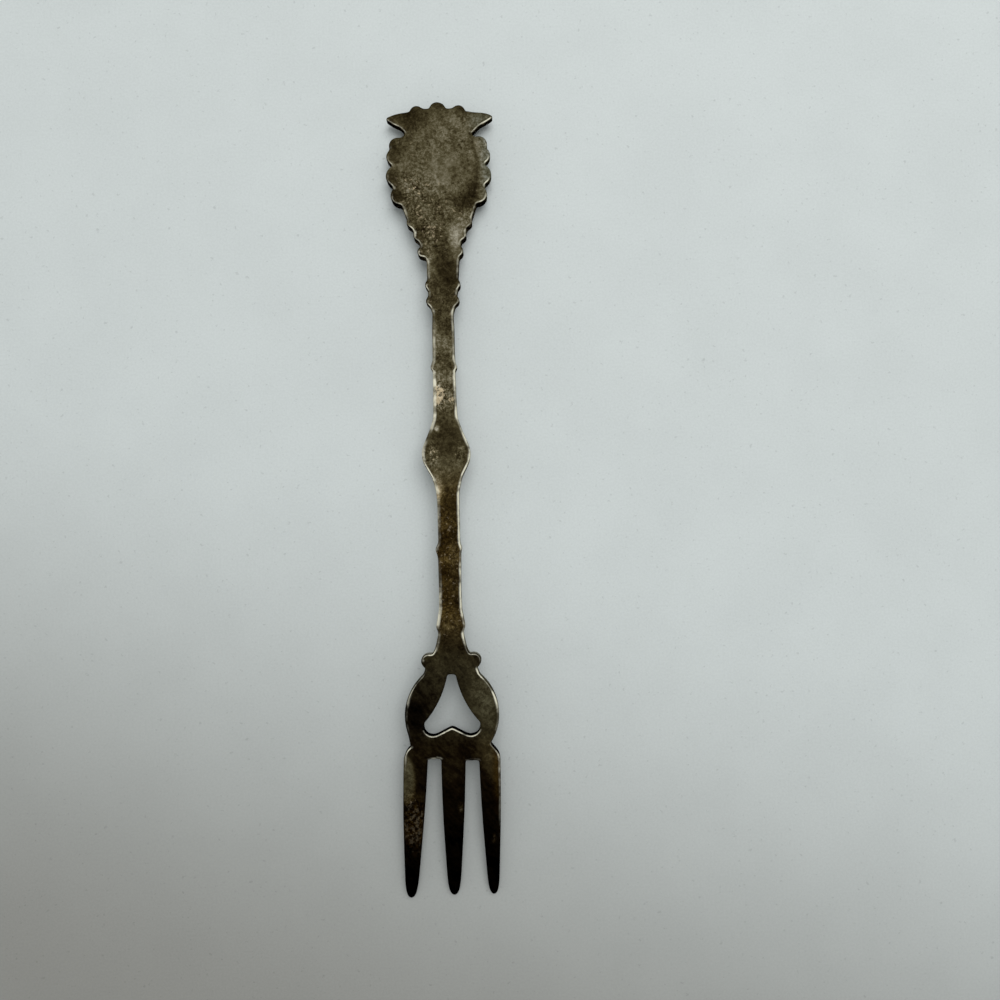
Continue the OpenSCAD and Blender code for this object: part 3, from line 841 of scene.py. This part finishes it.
# %% Colour of the tarnish
ramp = add(mottle_and_shade, "ShaderNodeValToRGB", {"Fac": value})
stops = ramp.color_ramp.elements
for number, (stop, green, blue) in enumerate(TARNISH):
    element = stops[number] if number < len(stops) else stops.new(stop)
    element.position = stop
    element.color = (light_of(stop), light_of(stop) * green, light_of(stop) * blue, 1)
shift = vectors(mottle_and_shade, "SCALE", {0: WARMER, "Scale": start.outputs["Warm"]})
shift = vectors(mottle_and_shade, "ADD", {0: shift, 1: (1, 1, 1)})
warmed = vectors(mottle_and_shade, "MULTIPLY", {0: ramp.outputs["Color"], 1: shift})
wider = sums(mottle_and_shade, "MULTIPLY", fleck, BARE_WIDER)
bare = sums(mottle_and_shade, "ADD", grain(mottle_and_shade, place, BROKEN), wider)
bare = between(mottle_and_shade, bare, BARE_FROM, BARE_TO)
bare = sums(mottle_and_shade, "MULTIPLY", bare, sums(mottle_and_shade, "MULTIPLY", fleck, BARE_SHARE, True))
pale = sums(mottle_and_shade, "MULTIPLY", level, BARE_TONE, True)
bare = sums(mottle_and_shade, "MULTIPLY", bare, sums(mottle_and_shade, "POWER", pale, BARE_POWER))
mottle_and_shade.links.new(blend(mottle_and_shade, bare, warmed, FLECK_COLOUR), end.inputs["Colour"])
mottle_and_shade.links.new(between(mottle_and_shade, value, *DULL), end.inputs["Roughness"])
mottle_and_shade.links.new(sums(mottle_and_shade, "ADD", spots, dust), end.inputs["Height"])
print(mottle_and_shade.name, "with", len(mottle_and_shade.nodes), "nodes")

# %% The rubbed edge and its painted highlight
# Noise that breaks the worn edge line and its painted highlight into patches.
WEAR_AND_HIGHLIGHT = (420, 3, 0.6, 0), (0.34, 0.66, 0.45, 1.35)
RUBBED_AND_HIGHLIGHT_FROM, RUBBED_AND_HIGHLIGHT_TO = 0.08, 0.8

polish_and_highlight, start, end = new_group(
    "rubbed_edge_and_highlight", [("Place", VECTOR), ("Rubbed_and_highlight", FLOAT)], [("Mask", FLOAT)]
)
worn = shaded(polish_and_highlight, start.outputs["Place"], *WEAR_AND_HIGHLIGHT)
share = sums(polish_and_highlight, "MULTIPLY", start.outputs["Rubbed_and_highlight"], worn)
polish_and_highlight.links.new(between(polish_and_highlight, share, RUBBED_AND_HIGHLIGHT_FROM, RUBBED_AND_HIGHLIGHT_TO), end.inputs["Mask"])
print(polish_and_highlight.name, "with", len(polish_and_highlight.nodes), "nodes")

# %% The silver itself
# Colours of bare rubbed metal, which also paint the highlight along the edges.
BACK_BRIGHT = (0.78, 0.74, 0.60, 1)
FRONT_BRIGHT = (0.66, 0.62, 0.50, 1)
EDGE_TINT = (0.22, 0.21, 0.20, 1)
BACK_BUMP = 0.06 * MM
FRONT_BUMP = 0.09 * MM
BUMP_STRENGTH = 0.6


def silver(name, bump, bright):
    """Tarnished silver from the two shared groups, with painted highlights and painted shade."""
    material = bpy.data.materials.new(name)
    material.use_nodes = True
    tree = material.node_tree
    tree.nodes.clear()
    place = add(tree, "ShaderNodeTexCoord").outputs["Object"]
    number = {
        key: add(tree, "ShaderNodeAttribute", attribute_name=key).outputs["Fac"]
        for key in ("tone", "warm", "fleck", "wall", "rubbed_and_highlight")
    }
    dull = add(tree, "ShaderNodeGroup", node_tree=mottle_and_shade)
    tree.links.new(place, dull.inputs["Place"])
    for key in ("tone", "warm", "fleck", "wall"):
        tree.links.new(number[key], dull.inputs[key.capitalize()])
    edge = add(tree, "ShaderNodeGroup", node_tree=polish_and_highlight)
    tree.links.new(place, edge.inputs["Place"])
    tree.links.new(number["rubbed_and_highlight"], edge.inputs["Rubbed_and_highlight"])
    colour = blend(tree, edge.outputs["Mask"], dull.outputs["Colour"], bright)
    relief = add(tree, "ShaderNodeBump", {
        "Height": dull.outputs["Height"],
        "Distance": bump,
        "Strength": BUMP_STRENGTH,
    })
    shader = add(tree, "ShaderNodeBsdfPrincipled", {
        "Base Color": colour,
        "Metallic": 1.0,
        "Roughness": dull.outputs["Roughness"],
        "Specular Tint": EDGE_TINT,
        "Normal": relief.outputs["Normal"],
    })
    add(tree, "ShaderNodeOutputMaterial", {"Surface": shader.outputs["BSDF"]})
    return material


back_silver = silver("tarnished_silver_back_with_painted_light", BACK_BUMP, BACK_BRIGHT)
front_silver = silver("tarnished_silver_front_with_painted_light", FRONT_BUMP, FRONT_BRIGHT)
print(back_silver.name, "and", front_silver.name)

# %% [markdown]
# ## From outline to skin
# Each member now gets its skin. An extruded outline would leave flat faces that can't bend, so flat
# triangles are laid inside it by Blender's own Delaunay routine: from the outline, a few rings just
# inside it that carry the rounded edge, and an even field of points between. The same triangles serve
# twice, raised to the height of the back and turned over for the front. A strip of wall joins the two,
# so each member is a closed solid.

# %% Points inside the edge
# A ring point stays if no edge is nearer than this share of the ring's depth.
TRUE_DEPTH = 0.97
LINE_CLEARANCE = 0.12


def inside(points, outline):
    """True for each point that lies within a closed outline."""
    x, y = points[:, 0], points[:, 1]
    within = np.zeros(len(points), bool)
    for (ax, ay), (bx, by) in zip(outline, np.roll(outline, -1, 0)):
        if ay != by:
            within ^= ((ay > y) != (by > y)) & (x < ax + (y - ay) * (bx - ax) / (by - ay))
    return within


def field():
    """Rings of points just inside the edge, then an even field."""
    made = []
    for loop in loops:
        for depth in RINGS:
            ring = loop + inward_of(loop) * depth
            made.append(ring[to_rim(ring)[0] > depth * TRUE_DEPTH])
    low, high = rim_a.min(0), rim_a.max(0)
    rows = np.arange(low[1], high[1], GRID * math.sqrt(3) / 2)
    for number, y in enumerate(rows):
        xs = np.arange(low[0] + GRID / 2 * (number % 2), high[0], GRID)
        row = np.column_stack([xs, np.full(len(xs), y)])
        made.append(row[to_rim(row)[0] > RINGS[-1] + GRID / 2])
    points = np.vstack(made)
    clear = np.min([np.abs(points[:, 1] - y) for y in lines], axis=0) > LINE_CLEARANCE
    return points[clear]


all_points = field()
print(len(all_points), "points inside the edge")

# %% Triangles and faces
INSIDE_ONLY = 1
SAME_POINT = 1e-6


def laid_flat(outline):
    """Points and triangles inside an outline, and the places of its own points."""
    low, high = outline.min(0), outline.max(0)
    extra = all_points[((all_points > low) & (all_points < high)).all(1)]
    flat = np.vstack([outline, extra[inside(extra, outline)]])
    border = list(range(len(outline)))
    laid = delaunay_2d_cdt([Vector(p) for p in flat], [], [border], INSIDE_ONLY, SAME_POINT)
    corners, _, triangles, origins = laid[:4]
    points = np.array([corner[:] for corner in corners])
    moved = {old: new for new, olds in enumerate(origins) for old in olds}
    return points, triangles, [moved[i] for i in border]


def closed_faces(triangles, total, rim, on_line):
    """Faces of a member's back, front and wall, and the edges that stay crisp."""
    faces = [tuple(f) for f in triangles]
    faces += [tuple(total + i for i in reversed(f)) for f in triangles]
    count = len(rim)
    crisp = set()
    for number, (a, b) in enumerate(zip(rim, rim[1:] + rim[:1])):
        c, d = 2 * total + number, 2 * total + (number + 1) % count
        e, f = c + count, d + count
        faces += [(a, c, d, b), (c, e, f, d), (e, total + a, total + b, f)]
        if on_line[number]:
            pairs = [(a, b), (total + a, total + b)]
            if not (on_line[number - 1] and on_line[(number + 1) % count]):
                pairs += [(a, c), (c, e), (e, total + a), (b, d), (d, f), (f, total + b)]
            crisp |= {frozenset(pair) for pair in pairs}
    return faces, crisp


print(len(laid_flat(members["oval_knop"][0])[1]), "triangles on the back of the knop")

# %% Tarnish and painted light numbers for a member
# The front's patches are those of the back turned over, and no darker than this before the relief is
# counted.
TURNED_OVER = (-1, 1)
FRONT_DARKEST = 0.15
# Relief of this height is fully rubbed on the front, and lighter than the hollows beside it.
RAISED = 0.35
FRONT_LIGHTER = 0.12
FRONT_RUBBED = 0.35
# The walls get at most this share of their rim's rubbed line and painted highlight.
WALL_LIT = 0.6


def tarnish_and_painted_light_numbers(points, distance, facing, rim, relief):
    """Numbers for a member's back, its front and the two rings of its wall."""
    light, warm, fleck = tarnish_and_reflection(points)
    # Painted shade along the crease and painted light on the bent lobes.
    light += crease_shade_and_light(points)
    front_light, front_warm, front_fleck = tarnish_and_reflection(points * TURNED_OVER)
    raised = np.clip(relief / RAISED, 0, 1)
    front_light = np.maximum(front_light, FRONT_DARKEST) + FRONT_LIGHTER * (raised - 0.5)
    # The rubbed line with its painted highlight, and painted shade on slopes and walls.
    bright = rubbed_and_highlight(points, distance, facing)
    slope = painted_slope_shade(points, distance, facing)
    rim_y = points[rim, 1]
    lit = bright[rim] * np.minimum(along(rim_y, OUTER_ALONG), WALL_LIT)
    turned_in = np.maximum(toward_middle(points[rim], facing[rim]), SIDE_WALL)
    sides = {
        "tone": (light, front_light, light[rim]),
        "warm": (warm, front_warm, warm[rim]),
        "fleck": (fleck, front_fleck, fleck[rim]),
        "rubbed_and_highlight": (bright, np.maximum(bright, FRONT_RUBBED * raised), lit),
        "wall": (slope, slope, along(rim_y, WALL_ALONG) * turned_in),
    }
    return {key: np.concatenate([*made, made[-1]]) for key, made in sides.items()}


def carry(mesh, numbers):
    """Stores named numbers on the points of a mesh."""
    for key, values in numbers.items():
        mesh.attributes.new(key, "FLOAT", "POINT").data.foreach_set("value", values)


print("lightness at the origin:", tarnish_and_reflection(np.zeros((1, 2)))[0].round(2))

# %% Build the members
WALL_STEP = 0.03


def add_object(name, data):
    """Puts a mesh, a lamp or a camera into the scene."""
    made = bpy.data.objects.new(name, data)
    bpy.context.collection.objects.link(made)
    return made


def build_member(node, outline, on_line, materials):
    """A closed skin for one member, with the numbers of its tarnished surface and painted light on its
    points.
    """
    points, triangles, rim = laid_flat(outline)
    distance, facing = to_rim(points)
    distance[[r for r, line in zip(rim, on_line) if not line]] = 0
    relief = leaf_relief(points) if node == "terminal" else np.zeros(len(points))
    back = np.column_stack([points, back_z(points, distance)])
    front = np.column_stack([points, front_z(points, distance)])
    front[:, 2] = np.maximum(front[:, 2] - relief, 0)
    wall = back[rim] - (0, 0, WALL_STEP)
    foot = front[rim] + (0, 0, WALL_STEP)
    faces, crisp = closed_faces(triangles, len(points), rim, on_line)
    mesh = bpy.data.meshes.new(node + "_skin")
    mesh.from_pydata((np.vstack([back, front, wall, foot]) * MM).tolist(), [], faces)
    mesh.shade_smooth()
    for edge in mesh.edges:
        edge.use_edge_sharp = frozenset(edge.vertices) in crisp
    carry(mesh, tarnish_and_painted_light_numbers(points, distance, facing, rim, relief))
    for material in materials:
        mesh.materials.append(material)
    sides = np.zeros(len(faces), int)
    sides[len(triangles):2 * len(triangles)] = 1
    mesh.polygons.foreach_set("material_index", sides)
    mesh.validate()
    return add_object(node + "_skin", mesh)


skins = {}
for node, (outline, on_line) in members.items():
    skins[node] = build_member(node, outline, on_line, (back_silver, front_silver))
    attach(skins[node], "root")
    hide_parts(node)
print({node: len(skin.data.polygons) for node, skin in skins.items()})

# %% [markdown]
# ## Rows of beads on the front
# The front of the real fork isn't known, so its trim is a guess: a row of small beads along each side
# of the stem. Each bead could be modelled and copied by hand, but the row has to follow the swelling of
# the knop. A Geometry Nodes tree takes a path laid just inside the edge, spaces points along it and
# sets a half-sunk ball on each. The result becomes one plain mesh with the same kinds of tarnish
# numbers as the skin.

# %% Paths for the beads
BEAD_INSET = 0.66
BEAD_SPACING = 0.62
BEAD_RADIUS = 0.25
BEAD_SEGMENTS = 8
BEAD_RINGS = 5
BEAD_RUBBED = 0.3
bead_top = span("upper_stem", 1)[1] - BEAD_SPACING
bead_low = span("lower_stem", 1)[0] + BEAD_SPACING


def bead_paths():
    """Two lines on the front, just inside the stem's edges."""
    outer = max(loops, key=len)
    inward = inward_of(outer)
    line = outer + inward * BEAD_INSET
    on_stem = (line[:, 1] < bead_top) & (line[:, 1] > bead_low)
    made = []
    for side in (-1, 1):
        kept = line[on_stem & (np.sign(inward[:, 0]) == -side)]
        kept = kept[to_rim(kept)[0] > BEAD_INSET * TRUE_DEPTH]
        made.append(kept[np.argsort(-kept[:, 1])])
    return made


path_points, path_edges = [], []
for line in bead_paths():
    height = front_z(line, to_rim(line)[0])
    first = len(path_points)
    path_points += (np.column_stack([line, height]) * MM).tolist()
    path_edges += [(first + k, first + k + 1) for k in range(len(line) - 1)]
print(len(path_points), "points on two bead paths")

# %% The bead tree
GEOMETRY = "NodeSocketGeometry"
bead_tree, start, end = new_group(
    "bead_row",
    [("Path", GEOMETRY), ("Spacing", FLOAT), ("Radius", FLOAT)],
    [("Beads", GEOMETRY)],
    "GeometryNodeTree",
)
bead_tree.is_modifier = True
curve = add(bead_tree, "GeometryNodeMeshToCurve", {"Mesh": start.outputs["Path"]})
spaced = add(bead_tree, "GeometryNodeResampleCurve", {
    "Curve": curve.outputs[0],
    "Length": start.outputs["Spacing"],
}, mode="LENGTH")
ball = add(bead_tree, "GeometryNodeMeshUVSphere", {
    "Segments": BEAD_SEGMENTS,
    "Rings": BEAD_RINGS,
    "Radius": start.outputs["Radius"],
})
smooth = add(bead_tree, "GeometryNodeSetShadeSmooth", {"Geometry": ball.outputs["Mesh"]})
placed = add(bead_tree, "GeometryNodeInstanceOnPoints", {
    "Points": spaced.outputs[0],
    "Instance": smooth.outputs[0],
})
real = add(bead_tree, "GeometryNodeRealizeInstances", {"Geometry": placed.outputs[0]})
finished = add(bead_tree, "GeometryNodeSetMaterial", {
    "Geometry": real.outputs[0],
    "Material": front_silver,
})
bead_tree.links.new(finished.outputs[0], end.inputs["Beads"])
print(bead_tree.name, "with", len(bead_tree.nodes), "nodes")

# %% Lay the beads
bead_sizes = {"Spacing": BEAD_SPACING * MM, "Radius": BEAD_RADIUS * MM}
path_mesh = bpy.data.meshes.new("bead_path")
path_mesh.from_pydata(path_points, path_edges, [])
path_object = add_object("bead_path", path_mesh)
modifier = path_object.modifiers.new("bead_row", "NODES")
modifier.node_group = bead_tree
for socket in bead_tree.interface.items_tree:
    if socket.name in bead_sizes:
        modifier[socket.identifier] = bead_sizes[socket.name]
evaluated = path_object.evaluated_get(bpy.context.evaluated_depsgraph_get())
bead_mesh = bpy.data.meshes.new_from_object(evaluated)
path_object.modifiers.remove(modifier)
bpy.data.objects.remove(path_object)
bead_mesh.name = "bead_rows"
bead_mesh.materials.clear()
bead_mesh.materials.append(front_silver)
bead_mesh.polygons.foreach_set("material_index", np.zeros(len(bead_mesh.polygons), int))
beads = add_object("bead_rows", bead_mesh)
bead_places = np.array([v.co[:2] for v in bead_mesh.vertices]) / MM
numbers = dict(zip(("tone", "warm", "fleck"), tarnish_and_reflection(bead_places * TURNED_OVER)))
numbers["rubbed_and_highlight"] = np.full(len(bead_places), BEAD_RUBBED)
numbers["wall"] = np.zeros(len(bead_places))
carry(bead_mesh, numbers)
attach(beads, "root")
print(len(bead_mesh.polygons), "faces in the bead rows")

# %% [markdown]
# ## The table, the light and the camera
# The fork lies on a pale, slightly worn table top under soft daylight from beyond the leaf end. The
# table is one large plane with a painted shade that grows darker towards the near left corner, away
# from the window. An image of a room could light it, but one broad lamp and an even surround are
# easier to adjust. The silver mirrors only the surround, as a dull metal under an open sky does. The
# camera looks straight down from close by, so the walls that face the middle of the picture show.

# %% Table
TABLE_HALF = 1.5
TABLE_COLOUR = (0.60, 0.64, 0.632, 1)
# The colour of the painted shade at the darkest corner, and where the painted shade starts and ends.
PAINTED_SHADE_COLOUR = (0.252, 0.25, 0.231, 1)
PAINTED_SHADE_FROM, PAINTED_SHADE_TO = 0.005, -0.115
PAINTED_SHADE_SIDE = 0.35
TABLE_ROUGHNESS = 0.55
# Wear, specks and grain, each with the change that it makes.
TABLE_WORN = (60, 5, 0.6, 0), (0.3, 0.7, -0.02, 0.02)
TABLE_SPECKS = (1100, 2, 0.6, 0), (0.64, 0.74, 0, -0.16)
TABLE_GRAIN = (2600, 2, 0.6, 0), (0.3, 0.7, -0.03, 0.03)

mesh = bpy.data.meshes.new("table_top")
corners = [(-1, -1), (1, -1), (1, 1), (-1, 1)]
mesh.from_pydata([(x * TABLE_HALF, y * TABLE_HALF, 0) for x, y in corners], [], [(0, 1, 2, 3)])
table = add_object("table_top", mesh)
pale = bpy.data.materials.new("pale_table")
pale.use_nodes = True
tree = pale.node_tree
shader = tree.nodes["Principled BSDF"]
shader.inputs["Roughness"].default_value = TABLE_ROUGHNESS
place = add(tree, "ShaderNodeTexCoord").outputs["Object"]
shade = 1.0
for pattern, change in (TABLE_GRAIN, TABLE_WORN, TABLE_SPECKS):
    shade = sums(tree, "ADD", shade, shaded(tree, place, pattern, change))
# Painted shade: the table's colour darkens towards the near left corner.
apart = add(tree, "ShaderNodeSeparateXYZ", {0: place}).outputs
corner = sums(tree, "ADD", apart["Y"], sums(tree, "MULTIPLY", apart["X"], PAINTED_SHADE_SIDE))
plain = blend(tree, between(tree, corner, PAINTED_SHADE_TO, PAINTED_SHADE_FROM), PAINTED_SHADE_COLOUR, TABLE_COLOUR)
tree.links.new(vectors(tree, "SCALE", {0: plain, "Scale": shade}), shader.inputs["Base Color"])
mesh.materials.append(pale)
print("table", 2 * TABLE_HALF, "m wide")

# %% Daylight and room
LAMP_PLACE = Vector((0.11, 0.24, 0.55))
LAMP_SIZE = 0.46
LAMP_POWER = 2.4
ROOM = 0.45
ROOM_COLOUR = (0.97, 1, 1, 1)

data = bpy.data.lights.new("daylight", "AREA")
data.shape = "SQUARE"
data.size = LAMP_SIZE
data.energy = LAMP_POWER
lamp = add_object("daylight", data)
lamp.location = LAMP_PLACE
lamp.rotation_euler = (-LAMP_PLACE).to_track_quat("-Z", "Y").to_euler()
lamp.visible_glossy = False

world = bpy.data.worlds.new("room")
world.use_nodes = True
tree = world.node_tree
surround = tree.nodes["Background"]
surround.inputs["Color"].default_value = ROOM_COLOUR
path = add(tree, "ShaderNodeLightPath")
seen = sums(tree, "ADD", path.outputs["Is Camera Ray"], path.outputs["Is Glossy Ray"])
seen = sums(tree, "ADD", seen, path.outputs["Is Transmission Ray"])
strength = between(tree, seen, 0, 1, ROOM, 1)
tree.links.new(strength, surround.inputs["Strength"])
bpy.context.scene.world = world
print("lamp of", LAMP_POWER, "watts, room at", ROOM)

# %% Camera
EYE = Vector((9.09, 0.01, 134.6)) * MM
LEAN = 0.0215
SENSOR = 36
LENS = 27.22
NEAREST = 0.005

view = bpy.data.cameras.new("overhead")
view.sensor_width = SENSOR
view.lens = LENS
view.clip_start = NEAREST
camera = add_object("overhead", view)
camera.location = EYE
camera.rotation_euler = (0, 0, -math.atan(LEAN))
bpy.context.scene.camera = camera
bpy.context.scene.view_settings.view_transform = "Standard"
print("camera", round(EYE.z / MM, 1), "mm above the table")
